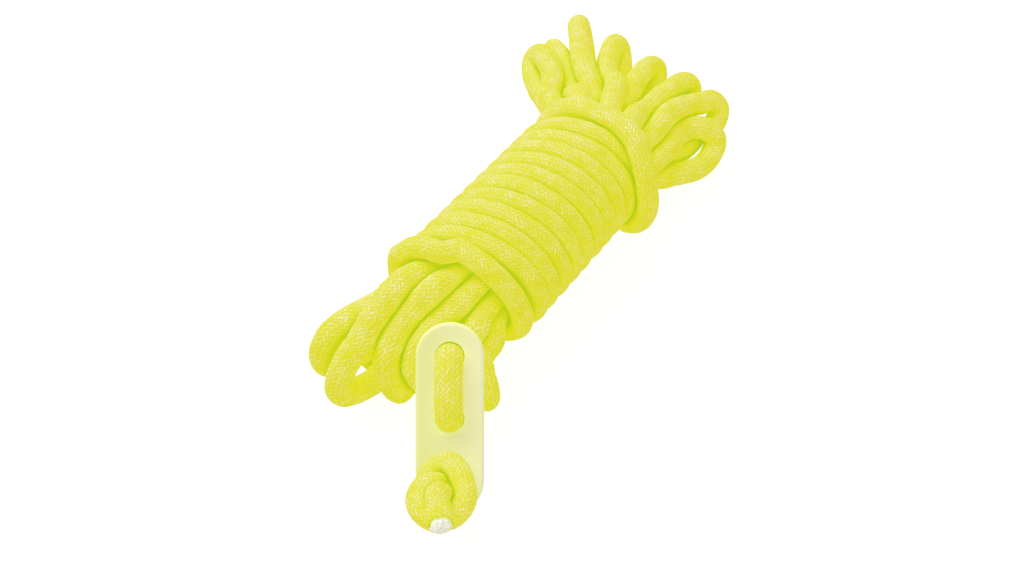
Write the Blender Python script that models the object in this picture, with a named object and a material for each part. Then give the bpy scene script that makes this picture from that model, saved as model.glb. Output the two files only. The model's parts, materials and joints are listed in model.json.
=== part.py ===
"""Hank of braided guy rope with a three-hole line runner on its tail.

One continuous rope is folded into bights, wrapped round its middle, and ends in a
stopper knot in front of a flat moulded runner.  The rope is one physical piece; it is
modelled as named runs, so that the runs that swing or flick can move on their own.
Design lengths are in millimetres and become metres when an object is made.
The hank lies along Y on the ground plane, fan of bights towards +Y, runner towards -Y.
"""

import math

import bmesh
import bpy
import numpy as np
from mathutils import Matrix, Vector

MM = 0.001
COLLECTION = "guy_rope_hank"
ROPE_COLOUR = (0.80, 0.85, 0.02)
ROPE_ROUGHNESS = 0.85
CORE_COLOUR = (0.93, 0.93, 0.88)
RUNNER_COLOUR = (0.88, 0.89, 0.62)
RUNNER_ROUGHNESS = 0.35
ROUNDS = 280           # settling rounds of the loose runs
STIFFNESS = 0.10       # share of a bend that one round straightens
HOMING = 0.012         # share of its way home that a sample goes in one round
FLOOR_GAP = 0.05

# Rope
ROPE_R = 3.35          # relaxed rope in the bights and the tail
WRAP_R = 2.95          # rope under tension in the wrap
PASS_R = 2.7           # strands squeezed inside the wrap
CLEARANCE = 0.3        # air between neighbouring rope surfaces
TAIL_ROOM = 0.7        # more air round the tail, which lifts
RUNNER_ROOM = 1.3      # air behind and beside the runner, which tilts
SIDES = 8              # sides of a rope section
STEP = 2.0             # distance between path samples
RING_EVERY = 2         # samples between two rings of a run
CUT_GAP = 0.3          # air between two consecutive runs
GROUND_GAP = 0.5       # air under the wrap

# Bundle of passes inside the wrap
OUTER_SLOTS = 11
INNER_SLOTS = 5
SLOT_SPACING = 2 * PASS_R + CLEARANCE
OUTER_RADIUS = 3.615 * SLOT_SPACING / 2
INNER_RADIUS = 1.70 * SLOT_SPACING / 2
PASS_END = 36.0        # where a pass becomes a bight
PASS_FIXED = 22.0      # passes are straight up to here
PASS_SWELL = 32.0      # from here a pass swells to the relaxed rope

# Wrap
WRAP_SLACK = 1.8 * CLEARANCE
WRAP_RADIUS = OUTER_RADIUS + PASS_R + WRAP_SLACK + WRAP_R
WRAP_PITCH = 5.3
WRAP_FLATTEN = 0.86    # axial over radial width of a squeezed turn
WRAP_TURNS = 10.75
WRAP_START = -30.4
WRAP_START_ANGLE = 200.0
WRAP_TILT = 0.19
FIRST_TURN_TILT = 0.03
FIRST_TURN_SHIFT = 1.3
LOOSE_COIL = 14        # samples at each end of the coil that settle with their neighbours
AXIS_HEIGHT = WRAP_RADIUS + WRAP_R + GROUND_GAP

# Bights: slots of upper and lower leg, tip, half spread of the legs, roll
BIGHT_WAIST = (0.40, 0.85)  # where along a bight its legs are narrower, and how much
BIGHT_FULL = 0.78      # where along a bight its legs are fully spread
TOP_BIGHTS = {
    "a": ("o2", "o3", (-42.0, 59.3, 17.0), 4.3, 35.0),
    "b": ("o1", "o4", (-41.6, 68.6, 13.0), 4.2, 5.0),
    "c": ("i0", "i1", (-36.8, 77.8, 19.8), 4.2, -16.0),
    "d": ("o0", "o5", (-22.3, 79.5, 18.0), 4.3, -30.0),
    "e": ("i4", "i2", (-7.2, 78.5, 17.5), 4.2, -32.0),
    "f": ("o10", "o6", (5.5, 80.0, 15.5), 4.2, -32.0),
    "g": ("o9", "i3", (16.5, 80.4, 11.9), 4.4, -40.0),
    "h": ("o8", "o7", (21.5, 68.0, 10.5), 6.0, -58.0),
}
BOTTOM_BIGHTS = {
    "a": ("o2", "o4", (-18.9, -64.4, 12.6), 9.0, 5.0),
    "b": ("o1", "i1", (-10.6, -67.2, 9.6), 9.0, 0.0),
    "c": ("i0", "o5", (-9.5, -55.5, 7.2), 5.0, 0.0),
    "d": ("o0", "i2", (-3.0, -57.0, 11.2), 9.0, 5.0),
    "e": ("i4", "o7", (1.0, -54.5, 12.5), 8.0, 5.0),
    "f": ("o10", "i3", (7.0, -49.0, 12.5), 6.5, 0.0),
    "g": ("o8", "o6", (20.5, -46.0, 9.6), 4.8, 0.0),
}
# Order in which the rope runs through the bundle, starting at the tail
ROUTE = ("o9", "i3", "o10", "o6", "o8", "o7", "i4", "i2", "o0", "o5", "i0", "i1",
         "o1", "o4", "o2", "o3")

# Runs that turn on their own: end with the hinge, and the side the hinge lies on
# (None: the runner's front side)
HINGE_SIDES = {
    "tail_root": ("last", (0.0, 0.0, 1.0)),
    "tail_end": ("last", None),
    "fan_bight_a": ("both", (-1.0, 0.0, 0.0)),
    "fan_bight_h": ("both", (1.0, 0.0, 0.0)),
    "near_bight_a": ("both", (-1.0, 0.0, 0.0)),
}

# Runner: a flat moulded plate with full-round ends and three holes on its centre line
RUNNER_LENGTH = 46.5
RUNNER_WIDTH = 16.5
RUNNER_THICKNESS = 4.0
HOLE_PITCH = 15.0
HOLE_RADIUS = 3.6
RUNNER_CENTRE = np.array((18.6, -58.0, 16.6))
RUNNER_HEADING = 37.0  # plan angle of the long axis away from +Y
RUNNER_SLOPE = 35.0    # rise of the long axis above the ground
RUN_R = 2.95           # rope where it weaves through the runner
ARCH = RUNNER_THICKNESS / 2 + RUN_R + 0.6   # height of that rope over the plate's middle
ARCH_SHOULDER = 0.4    # straight part of the front run in a hole
TAIL_SLANT = math.radians(40.0)              # tail behind the plate, away from its long axis
TAIL_DEPTH = -(RUNNER_THICKNESS / 2 + CLEARANCE + ROPE_R)
TAIL_STRAIGHT = 8.6    # straight tail beyond the top hole, up to where the runner tilts
FREE_END_LENGTH = 8.0

# Stopper knot and cut ends
KNOT_R = 2.65
KNOT_LENGTH = 76.0
KNOT_SAMPLES = 72
KNOT_TWIST = 25.0      # turn of the knot about the hole's axis, degrees
KNOT_SHIFT = (-2.3, -0.8)   # how far the knot leans off the hole, across and along
HOLE_STRAIGHT = 0.9    # straight end of the back run inside a hole
HOLE_MIDDLE_GAP = 0.3  # air between the back run and the knot inside the hole
STUB_LENGTH = 4.6
STUB_LEAN = (0.2, -0.7, 0.68)   # way the knot's stub points: across, along and out
STUB_BEND = 4          # samples in which the knot's end turns into the stub
STUB_STEP = 1.1
CORE_R = 1.75
CORE_PROUD = 1.0       # how far the core stands out of the cut sheath
SLEEVE_FLOOR = 1.2     # closed bottom of a cut end's sleeve
CUT_BEVEL = 0.4
CORE_LOBES = 6


def unit(vector):
    return vector / np.linalg.norm(vector)


def runner_axes():
    """Long axis (up the plate), side axis and front normal of the runner."""
    heading = math.radians(RUNNER_HEADING)
    slope = math.radians(RUNNER_SLOPE)
    side = np.array((math.cos(heading), math.sin(heading), 0.0))
    flat = np.array((-math.sin(heading), math.cos(heading), 0.0))
    long_axis = flat * math.cos(slope) + np.array((0.0, 0.0, math.sin(slope)))
    return long_axis, side, np.cross(side, long_axis)


def runner_point(along, across, out):
    long_axis, side, normal = runner_axes()
    return RUNNER_CENTRE + long_axis * along + side * across + normal * out


def slot(name):
    """Cross-section place of one pass in the bundle, as x and z."""
    index = int(name[1:])
    if name[0] == "o":
        radius = OUTER_RADIUS
        angle = math.radians(90.0 + 360.0 * index / OUTER_SLOTS)
    else:
        radius = INNER_RADIUS
        angle = math.radians(126.0 + 360.0 * index / INNER_SLOTS)
    return radius * math.cos(angle), AXIS_HEIGHT + radius * math.sin(angle)


def slot_point(name, y):
    x, z = slot(name)
    return np.array((x, y, z))


def bight_points(upper, lower, tip, spread, roll, end, first):
    """Control points of a bight, from its first leg over the tip to its other leg."""
    root = (slot_point(upper, end) + slot_point(lower, end)) / 2
    reach = np.array(tip) - root
    length = np.linalg.norm(reach)
    ahead = reach / length
    side = unit(np.cross(ahead, (0.0, 0.0, 1.0)))
    up = np.cross(side, ahead)
    angle = math.radians(roll)
    across = up * math.cos(angle) + side * math.sin(angle)
    points = [
        root + ahead * length * BIGHT_WAIST[0] + across * spread * BIGHT_WAIST[1],
        root + ahead * length * BIGHT_FULL + across * spread,
        np.array(tip),
        root + ahead * length * BIGHT_FULL - across * spread,
        root + ahead * length * BIGHT_WAIST[0] - across * spread * BIGHT_WAIST[1],
    ]
    return points if first == upper else points[::-1]


def bight_between(table, first, second):
    for name, (upper, lower, tip, spread, roll) in table.items():
        if {upper, lower} == {first, second}:
            return name, (upper, lower, tip, spread, roll)
    raise ValueError(f"no bight joins {first} and {second}")


def tail_direction():
    """Way the tail leaves the runner's top hole behind the plate."""
    long_axis, side, _ = runner_axes()
    return long_axis * math.cos(TAIL_SLANT) + side * math.sin(TAIL_SLANT)


def tail_point(distance, depth):
    """A point of the tail, at a distance from the runner's top hole."""
    return runner_point(HOLE_PITCH, 0.0, depth) + tail_direction() * distance


def wrap_points():
    """The wrap: a helix whose turns lean across the bundle, the first one less."""
    points = []
    for i in range(int(WRAP_TURNS * 24) + 1):
        turn = i / 24
        angle = math.radians(WRAP_START_ANGLE - 360.0 * turn)
        loose = max(0.0, 1.0 - turn)
        tilt = WRAP_TILT + (FIRST_TURN_TILT - WRAP_TILT) * min(1.0, 1.5 * loose)
        x = WRAP_RADIUS * math.cos(angle)
        z = AXIS_HEIGHT + WRAP_RADIUS * math.sin(angle)
        y = WRAP_START + WRAP_PITCH * turn + FIRST_TURN_SHIFT * loose
        points.append(np.array((x, y + tilt * x, z)))
    return points


def wrap_start_points():
    """From the last pass round to the first turn of the wrap."""
    return [
        np.array((-13.0, -40.0, 15.5)),
        np.array((-19.0, -37.5, 14.0)),
    ]


def last_turn_points():
    """The loose outer turn at the fan end, ending under the fan."""
    return [
        np.array((-13.0, 28.5, 7.5)),
        np.array((-18.0, 30.0, 17.0)),
        np.array((-14.0, 31.5, 30.0)),
        np.array((-2.0, 31.0, 38.0)),
        np.array((11.0, 28.0, 37.0)),
        np.array((20.0, 25.0, 28.0)),
        np.array((21.0, 24.0, 14.0)),
        np.array((12.0, 28.5, 4.0)),
        np.array((4.0, 34.0, 3.3)),
        np.array((-3.0, 42.0, 3.3)),
        np.array((-8.0, 52.0, 3.3)),
    ]


def rope_route():
    """Control points of the whole rope with the run each of them starts."""
    points = []
    runs = []

    def add(run, new_points):
        points.extend(new_points)
        runs.extend([run] * len(new_points))

    add("tail_end", [tail_point(-2.6, TAIL_DEPTH), tail_point(TAIL_STRAIGHT / 2, TAIL_DEPTH)])
    add("tail_root", [tail_point(TAIL_STRAIGHT, TAIL_DEPTH)])
    upwards = True
    for index, name in enumerate(ROUTE):
        start = -PASS_END if upwards else PASS_END
        add("pass_" + name, [slot_point(name, y) for y in (start, start / 2, 0.0, -start / 2)])
        if index + 1 < len(ROUTE):
            table = TOP_BIGHTS if upwards else BOTTOM_BIGHTS
            letter, (upper, lower, tip, spread, roll) = bight_between(table, name, ROUTE[index + 1])
            run = ("fan_bight_" if upwards else "near_bight_") + letter
            end = PASS_END if upwards else -PASS_END
            add(run, [slot_point(name, end)])
            add(run, bight_points(upper, lower, tip, spread, roll, end, name))
        upwards = not upwards
    add("wrap_start", [slot_point(ROUTE[-1], -PASS_END)])
    add("wrap_start", wrap_start_points())
    add("wrap_coil", wrap_points())
    add("wrap_last_turn", last_turn_points())
    return points, runs


def spline(points, runs):
    """Centripetal Catmull-Rom through the control points, sampled every STEP."""
    pts = [2 * points[0] - points[1]] + list(points) + [2 * points[-1] - points[-2]]
    samples = []
    names = []
    for i in range(1, len(pts) - 2):
        p0, p1, p2, p3 = pts[i - 1:i + 3]
        t0 = 0.0
        t1 = t0 + np.linalg.norm(p1 - p0) ** 0.5
        t2 = t1 + np.linalg.norm(p2 - p1) ** 0.5
        t3 = t2 + np.linalg.norm(p3 - p2) ** 0.5
        count = max(1, round(np.linalg.norm(p2 - p1) / STEP))
        for j in range(count):
            t = t1 + (t2 - t1) * j / count
            a1 = (t1 - t) / (t1 - t0) * p0 + (t - t0) / (t1 - t0) * p1
            a2 = (t2 - t) / (t2 - t1) * p1 + (t - t1) / (t2 - t1) * p2
            a3 = (t3 - t) / (t3 - t2) * p2 + (t - t2) / (t3 - t2) * p3
            b1 = (t2 - t) / (t2 - t0) * a1 + (t - t0) / (t2 - t0) * a2
            b2 = (t3 - t) / (t3 - t1) * a2 + (t - t1) / (t3 - t1) * a3
            samples.append((t2 - t) / (t2 - t1) * b1 + (t - t1) / (t2 - t1) * b2)
            names.append(runs[i - 1])
    samples.append(np.array(points[-1]))
    names.append(runs[-1])
    return np.array(samples), names


def sample_radius(samples, names):
    """Rope radius along the path: squeezed in the wrap, relaxed outside it."""
    radius = np.full(len(names), ROPE_R)
    for i, name in enumerate(names):
        if name.startswith("pass_"):
            ease = (abs(samples[i, 1]) - PASS_SWELL) / (PASS_END - PASS_SWELL)
            radius[i] = PASS_R + (ROPE_R - PASS_R) * min(max(ease, 0.0), 1.0)
        elif name == "wrap_coil":
            radius[i] = WRAP_R
        elif name == "wrap_last_turn":
            radius[i] = WRAP_R
    return radius


def weave_points():
    """Rope from the back of the top hole over the front, and behind to the bottom hole."""
    bend = ARCH - ARCH_SHOULDER
    front = []
    back = []
    for i in range(5):
        angle = math.pi / 2 * i / 4
        out = ARCH_SHOULDER + bend * math.sin(angle)
        front.append((HOLE_PITCH - bend * (1 - math.cos(angle)), out))
    front = [(HOLE_PITCH, -RUNNER_THICKNESS / 2)] + front
    middle = HOLE_PITCH / 2
    for along, out in front:
        if along > middle + 1.0:
            back.append((along - HOLE_PITCH, -out))
    over = [(along, out) for along, out in front if along > middle + 1.0]
    over += [(HOLE_PITCH - along, out) for along, out in reversed(over)]
    under = back + [(-HOLE_PITCH - along, out) for along, out in reversed(back)]
    over[-1] = (0.0, CUT_GAP / 2)
    under = ([(0.0, -CUT_GAP / 2), (0.0, -HOLE_STRAIGHT)] + under[2:-2]
             + [(-HOLE_PITCH, -HOLE_STRAIGHT), (-HOLE_PITCH, 0.0)])
    return over, under


def knot_path():
    """A tightened overhand knot along +X, centred on the origin."""
    t = np.linspace(-2.35, 2.35, 400)
    curve = np.stack((t ** 3 - 3 * t, t ** 4 - 4 * t ** 2, (t ** 5 - 10 * t) / 6), axis=1)
    curve -= curve.mean(axis=0)
    along = np.concatenate(((0.0,), np.cumsum(np.linalg.norm(np.diff(curve, axis=0), axis=1))))
    place = np.linspace(0.0, along[-1], KNOT_SAMPLES)
    points = np.stack([np.interp(place, along, curve[:, k]) for k in range(3)], axis=1)
    points *= 2 * KNOT_LENGTH / along[-1]
    rest = 2 * KNOT_LENGTH / (KNOT_SAMPLES - 1)
    for _ in range(900):
        if rest * (KNOT_SAMPLES - 1) > KNOT_LENGTH:
            rest *= 0.997
        smooth = np.zeros_like(points)
        smooth[1:-1] = (points[:-2] + points[2:]) / 2 - points[1:-1]
        stiff = (smooth[:-2] + smooth[2:]) / 2 - smooth[1:-1]
        points[1:-1] -= 0.5 * stiff
        for _ in range(10):
            link = np.diff(points, axis=0)
            length = np.linalg.norm(link, axis=1)
            pull = ((length - rest) / length * 0.45)[:, None] * link
            points[:-1] += pull
            points[1:] -= pull
        skip = int(math.ceil(math.pi * KNOT_R / rest)) + 1
        first, second = np.triu_indices(KNOT_SAMPLES, skip)
        for _ in range(3):
            link = points[first] - points[second]
            length = np.linalg.norm(link, axis=1)
            short = np.maximum(2 * KNOT_R + 0.12 - length, 0.0)
            push = (short / length * 0.35)[:, None] * link
            np.add.at(points, first, push)
            np.add.at(points, second, -push)
        points[0, 1:] = 0.0
        points[-1, 1:] = 0.0
    points[:, 0] -= (points[:, 0].min() + points[:, 0].max()) / 2
    return points


def knot_points():
    """The stopper knot in front of the bottom hole, starting inside the hole."""
    long_axis, side, normal = runner_axes()
    seat = runner_point(-HOLE_PITCH, 0.0, 0.0)
    local = knot_path()
    if local[0, 0] > local[-1, 0]:
        local = local * np.array((-1.0, 1.0, 1.0))
    lowest = local[8:, 0].min()
    out = local[:, 0] - lowest + KNOT_R + RUNNER_THICKNESS / 2 + CLEARANCE
    lean = np.clip((out - 1.5) / 6.0, 0.0, 1.0)
    twist = math.radians(KNOT_TWIST)
    across = local[:, 1] * math.cos(twist) - local[:, 2] * math.sin(twist)
    along = local[:, 1] * math.sin(twist) + local[:, 2] * math.cos(twist)
    across = across + KNOT_SHIFT[0] * lean
    along = along + KNOT_SHIFT[1] * lean
    points = (seat + across[:, None] * side + along[:, None] * long_axis
              + out[:, None] * normal)
    points = list(points[out > HOLE_MIDDLE_GAP][:-STUB_BEND])
    lean = unit(side * STUB_LEAN[0] + long_axis * STUB_LEAN[1] + normal * STUB_LEAN[2])
    leave = unit(points[-1] - points[-3])
    for i in range(1, STUB_BEND + 1):
        share = i / STUB_BEND
        points.append(points[-1] + unit(leave * (1 - share) + lean * share) * STUB_STEP)
    return np.array(points)


def relax(points, room, free):
    """Let the free samples of a rope settle: smooth, of constant length, touching nothing."""
    points = points.copy()
    start = points.copy()
    rest = np.linalg.norm(np.diff(points, axis=0), axis=1)
    free = free.astype(float)[:, None]
    count = len(points)
    skip = int(math.ceil(2.6 * ROPE_R / STEP)) + 1
    first, second = np.triu_indices(count, skip)
    movable = (free[first, 0] + free[second, 0]) > 0
    first, second = first[movable], second[movable]
    for turn in range(ROUNDS):
        if turn % 12 == 0:
            gap = np.linalg.norm(points[first] - points[second], axis=1)
            near = gap < 4.2 * ROPE_R
            i_near, j_near = first[near], second[near]
        middle = (points[:-2] + points[2:]) / 2
        points[1:-1] += free[1:-1] * STIFFNESS * (middle - points[1:-1])
        for _ in range(4):
            link = np.diff(points, axis=0)
            length = np.linalg.norm(link, axis=1)
            pull = ((length - rest) / length / 2)[:, None] * link
            points[:-1] += free[:-1] * pull
            points[1:] -= free[1:] * pull
        points += free * HOMING * (start - points)
        for _ in range(2):
            link = points[i_near] - points[j_near]
            length = np.linalg.norm(link, axis=1)
            need = room[i_near] + room[j_near] + CLEARANCE
            short = np.maximum(need - length, 0.0)
            push = (short / np.maximum(length, 1e-6) / 2)[:, None] * link
            shared = (free[i_near] + free[j_near])
            share_i = 2 * free[i_near] / np.maximum(shared, 1e-6)
            share_j = 2 * free[j_near] / np.maximum(shared, 1e-6)
            np.add.at(points, i_near, 0.6 * push * share_i * free[i_near])
            np.add.at(points, j_near, -0.6 * push * share_j * free[j_near])
        points += free * runner_guard(points, room)
        sunk = (points[:, 2] < room + FLOOR_GAP) & (free[:, 0] > 0)
        points[sunk, 2] = room[sunk] + FLOOR_GAP
    return points


def runner_guard(points, room):
    """Push rope samples out of the runner and of the room it needs behind it."""
    long_axis, side, normal = runner_axes()
    rel = points - RUNNER_CENTRE
    along = rel @ long_axis
    across = rel @ side
    out = rel @ normal
    beside = np.abs(across) - RUNNER_WIDTH / 2 - room - RUNNER_ROOM
    beyond = np.abs(along) - RUNNER_LENGTH / 2 - room - RUNNER_ROOM
    deep = out + RUNNER_THICKNESS / 2 + room + RUNNER_ROOM
    inside = (beside < 0) & (beyond < 0) & (deep > 0) & (out < 12.0)
    push = np.zeros_like(points)
    push[inside] = -normal * (deep[inside] * 0.5)[:, None]
    return push


def tangents_of(points):
    tangents = np.gradient(points, axis=0)
    return tangents / np.linalg.norm(tangents, axis=1)[:, None]


def frames(points, tangents):
    """Tangent, side and up vectors carried along a path without twisting."""
    if tangents is None:
        tangents = tangents_of(points)
    side = np.cross(tangents[0], (0.0, 0.0, 1.0))
    if np.linalg.norm(side) < 1e-3:
        side = np.array((1.0, 0.0, 0.0))
    side = unit(side)
    sides = [side]
    for tangent in tangents[1:]:
        side = unit(side - tangent * (side @ tangent))
        sides.append(side)
    sides = np.array(sides)
    return tangents, sides, np.cross(tangents, sides)


def tube_mesh(name, points, radius, flatten=1.0, tangents=None):
    """Closed rope section lofted along a path, narrowed by flatten across its radial."""
    tangents, sides, ups = frames(points, tangents)
    if flatten != 1.0:
        outward = points - np.array((0.0, 0.0, AXIS_HEIGHT))
        outward[:, 1] = 0.0
        outward -= tangents * np.sum(outward * tangents, axis=1)[:, None]
        ups = outward / np.linalg.norm(outward, axis=1)[:, None]
        sides = np.cross(ups, tangents)
    mesh = bpy.data.meshes.new(name)
    bm = bmesh.new()
    rings = []
    for centre, side, up, r in zip(points, sides, ups, radius):
        ring = []
        for k in range(SIDES):
            angle = 2 * math.pi * k / SIDES
            offset = side * math.cos(angle) * r * flatten + up * math.sin(angle) * r
            ring.append(bm.verts.new((centre + offset) * MM))
        rings.append(ring)
    for low, high in zip(rings, rings[1:]):
        for k in range(SIDES):
            bm.faces.new((low[k], low[(k + 1) % SIDES], high[(k + 1) % SIDES], high[k]))
    bm.faces.new(rings[0][::-1])
    bm.faces.new(rings[-1])
    bmesh.ops.recalc_face_normals(bm, faces=bm.faces)
    bm.to_mesh(mesh)
    bm.free()
    smooth_shade(mesh)
    return mesh


def smooth_shade(mesh):
    for polygon in mesh.polygons:
        polygon.use_smooth = True
    mesh.set_sharp_from_angle(angle=math.radians(60.0))


def material(name, colour, roughness):
    made = bpy.data.materials.new(name)
    made.use_nodes = True
    shader = made.node_tree.nodes["Principled BSDF"]
    shader.inputs["Base Color"].default_value = (*colour, 1.0)
    shader.inputs["Roughness"].default_value = roughness
    shader.inputs["Metallic"].default_value = 0.0
    return made


def add_object(collection, name, mesh, colour, roughness, pivot=None):
    """Link a mesh as a sub-part; a moving one gets its origin on its joint's axis."""
    mesh.materials.append(material(name + "_finish", colour, roughness))
    made = bpy.data.objects.new(name, mesh)
    if pivot is not None:
        mesh.transform(Matrix.Translation(-Vector(pivot) * MM))
        made.location = Vector(pivot) * MM
    collection.objects.link(made)
    return made


def clear_scene():
    for old in list(bpy.data.objects):
        bpy.data.objects.remove(old, do_unlink=True)


def arc(centre, radius, start, end, steps):
    return [
        (centre[0] + radius * math.cos(start + (end - start) * i / steps),
         centre[1] + radius * math.sin(start + (end - start) * i / steps))
        for i in range(steps + 1)
    ]


def runner_plate(collection):
    """Flat plate with full-round ends and three holes, from a filled outline."""
    curve = bpy.data.curves.new("runner_plate_outline", "CURVE")
    curve.dimensions = "2D"
    curve.fill_mode = "BOTH"
    curve.extrude = RUNNER_THICKNESS / 2 * MM
    round_end = RUNNER_LENGTH / 2 - RUNNER_WIDTH / 2
    outline = arc((0.0, round_end), RUNNER_WIDTH / 2, 0.0, math.pi, 14)
    outline += arc((0.0, -round_end), RUNNER_WIDTH / 2, math.pi, 2 * math.pi, 14)
    rings = [outline]
    for place in (-HOLE_PITCH, 0.0, HOLE_PITCH):
        rings.append(arc((0.0, place), HOLE_RADIUS, 0.0, -2 * math.pi, 16)[:-1])
    for ring in rings:
        line = curve.splines.new("POLY")
        line.points.add(len(ring) - 1)
        for point, (x, y) in zip(line.points, ring):
            point.co = (x * MM, y * MM, 0.0, 1.0)
        line.use_cyclic_u = True
    made = bpy.data.objects.new("runner_plate", curve)
    long_axis, side, normal = runner_axes()
    place = Matrix(np.column_stack((side, long_axis, normal)).tolist()).to_4x4()
    place.translation = Vector(RUNNER_CENTRE) * MM
    made.matrix_world = place
    curve.materials.append(material("runner_plate_finish", RUNNER_COLOUR, RUNNER_ROUGHNESS))
    collection.objects.link(made)
    return made


def plain_run(collection, name, points, radius, pivot=None):
    """A run of rope of one radius through the given points."""
    points = np.array(points)
    made = tube_mesh(name, points, np.full(len(points), radius))
    return add_object(collection, name, made, ROPE_COLOUR, ROPE_ROUGHNESS, pivot)


def sheath_end(collection, name, start, ahead, length, radius, pivot):
    """Cut end of the rope: the sheath as a sleeve, open at its end, and the core in it."""
    ahead = unit(ahead)
    side = unit(np.cross(ahead, (0.3, 0.2, 1.0)))
    up = np.cross(side, ahead)
    profile = [
        (0.0, 0.0), (0.0, radius), (length - CUT_BEVEL, radius), (length, radius - CUT_BEVEL),
        (length, CORE_R + CLEARANCE), (SLEEVE_FLOOR, CORE_R + CLEARANCE), (SLEEVE_FLOOR, 0.0),
    ]
    mesh = turned_mesh(name + "_sheath", profile, start, ahead, side, up, lambda angle: 1.0)
    add_object(collection, name + "_sheath", mesh, ROPE_COLOUR, ROPE_ROUGHNESS, pivot)
    inner = SLEEVE_FLOOR + CLEARANCE
    outer = length + CORE_PROUD
    core = [(inner, 0.0), (inner, CORE_R), (outer - CUT_BEVEL, CORE_R),
            (outer, CORE_R - CUT_BEVEL), (outer, 0.0)]
    mesh = turned_mesh(
        name + "_core", core, start, ahead, side, up,
        lambda angle: 1.0 - 0.09 * (1.0 + math.cos(CORE_LOBES * angle)),
    )
    add_object(collection, name + "_core", mesh, CORE_COLOUR, ROPE_ROUGHNESS, pivot)


def turned_mesh(name, profile, start, ahead, side, up, lobes):
    """Closed body turned from a profile of (distance, radius) about a slanting axis."""
    mesh = bpy.data.meshes.new(name)
    bm = bmesh.new()
    count = 4 * CORE_LOBES
    rings = []
    for distance, radius in profile:
        centre = start + ahead * distance
        if radius == 0.0:
            rings.append([bm.verts.new(centre * MM)])
            continue
        ring = []
        for k in range(count):
            angle = 2 * math.pi * k / count
            reach = radius * lobes(angle)
            spot = centre + side * math.cos(angle) * reach + up * math.sin(angle) * reach
            ring.append(bm.verts.new(spot * MM))
        rings.append(ring)
    for low, high in zip(rings, rings[1:]):
        for k in range(count):
            quad = (low[k % len(low)], low[(k + 1) % len(low)],
                    high[(k + 1) % len(high)], high[k % len(high)])
            bm.faces.new([v for i, v in enumerate(quad) if v not in quad[:i]])
    bmesh.ops.recalc_face_normals(bm, faces=bm.faces)
    bm.to_mesh(mesh)
    bm.free()
    smooth_shade(mesh)
    return mesh


def rope_runs(collection):
    """The long rope, settled and cut into its runs; returns its free end."""
    points, runs = rope_route()
    samples, names = spline(points, runs)
    radius = sample_radius(samples, names)
    coil = [i for i, name in enumerate(names) if name == "wrap_coil"]
    loose_coil = set(coil[:LOOSE_COIL] + coil[-LOOSE_COIL:])
    fixed = np.array([
        (name.startswith("pass_") and abs(place[1]) < PASS_FIXED)
        or (name == "wrap_coil" and i not in loose_coil)
        or name == "tail_end"
        for i, (name, place) in enumerate(zip(names, samples))
    ])
    room = radius + np.array([TAIL_ROOM * name.startswith("tail_") for name in names])
    samples = relax(samples, room, ~fixed)
    tangents = tangents_of(samples)
    start = 0
    for i in range(1, len(names) + 1):
        if i < len(names) and names[i] == names[start]:
            continue
        end = min(i, len(names) - 1)
        keep = ring_places(samples, names, start, end)
        part = samples[keep].copy()
        part[0] += tangents[start] * CUT_GAP / 2
        part[-1] -= tangents[end] * CUT_GAP / 2
        name = names[start]
        flatten = WRAP_FLATTEN if name == "wrap_coil" else 1.0
        mesh = tube_mesh(name, part, radius[keep], flatten, tangents[keep])
        pivot = run_pivot(name, samples[start], samples[end])
        add_object(collection, name, mesh, ROPE_COLOUR, ROPE_ROUGHNESS, pivot)
        start = i
    return samples


def run_pivot(name, first, last):
    """Joint axis point of a moving run, on the edge of its cut that it turns over."""
    if name not in HINGE_SIDES:
        return None
    ends, way = HINGE_SIDES[name]
    places = {"first": [first], "last": [last], "both": [first, last]}[ends]
    middle = sum(places) / len(places)
    way = np.array(way) if way is not None else runner_axes()[2]
    reach = max(float((place - middle) @ way) for place in places) + ROPE_R
    return middle + way * reach


def seat_on_origin(collection):
    """Move everything so that the origin is the middle of the box's bottom."""
    bpy.context.view_layer.update()
    corners = []
    for made in collection.objects:
        corners += [made.matrix_world @ Vector(corner) for corner in made.bound_box]
    low = Vector([min(corner[k] for corner in corners) for k in range(3)])
    high = Vector([max(corner[k] for corner in corners) for k in range(3)])
    shift = Vector(((low.x + high.x) / 2, (low.y + high.y) / 2, low.z))
    for made in collection.objects:
        made.matrix_world = Matrix.Translation(-shift) @ made.matrix_world


def ring_places(samples, names, start, end):
    """Samples of a run that get a ring: every second one, but none where it is straight."""
    keep = [start]
    for i in range(start + RING_EVERY, end - RING_EVERY + 1, RING_EVERY):
        straight = names[start].startswith("pass_") and abs(samples[i, 1]) < PASS_FIXED - 2 * STEP
        if not straight:
            keep.append(i)
    return keep + [end]


def main():
    clear_scene()
    collection = bpy.data.collections.new(COLLECTION)
    bpy.context.scene.collection.children.link(collection)
    samples = rope_runs(collection)
    _, _, normal = runner_axes()
    ahead = unit(samples[-1] - samples[-2])
    start = samples[-1] + ahead * CUT_GAP
    pivot = start + np.array((-WRAP_R, 0.0, 0.0))
    sheath_end(collection, "free_end", start, ahead, FREE_END_LENGTH, WRAP_R, pivot)
    runner_plate(collection)
    over, under = weave_points()
    hole = runner_point(HOLE_PITCH, 0.0, 0.0)
    plain_run(collection, "runner_front_run", [runner_point(a, 0.0, n) for a, n in over],
              RUN_R, hole)
    plain_run(collection, "runner_back_run", [runner_point(a, 0.0, n) for a, n in under],
              RUN_R, hole)
    knot = knot_points()
    knot = np.concatenate((knot[:1], knot[1::2]))
    plain_run(collection, "stopper_knot", knot, KNOT_R, hole)
    ahead = unit(knot[-1] - knot[-2])
    start = knot[-1] + ahead * 1.5 * CUT_GAP
    sheath_end(collection, "knot_end", start, ahead, STUB_LENGTH, KNOT_R,
               start + normal * KNOT_R)
    seat_on_origin(collection)


main()
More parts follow.
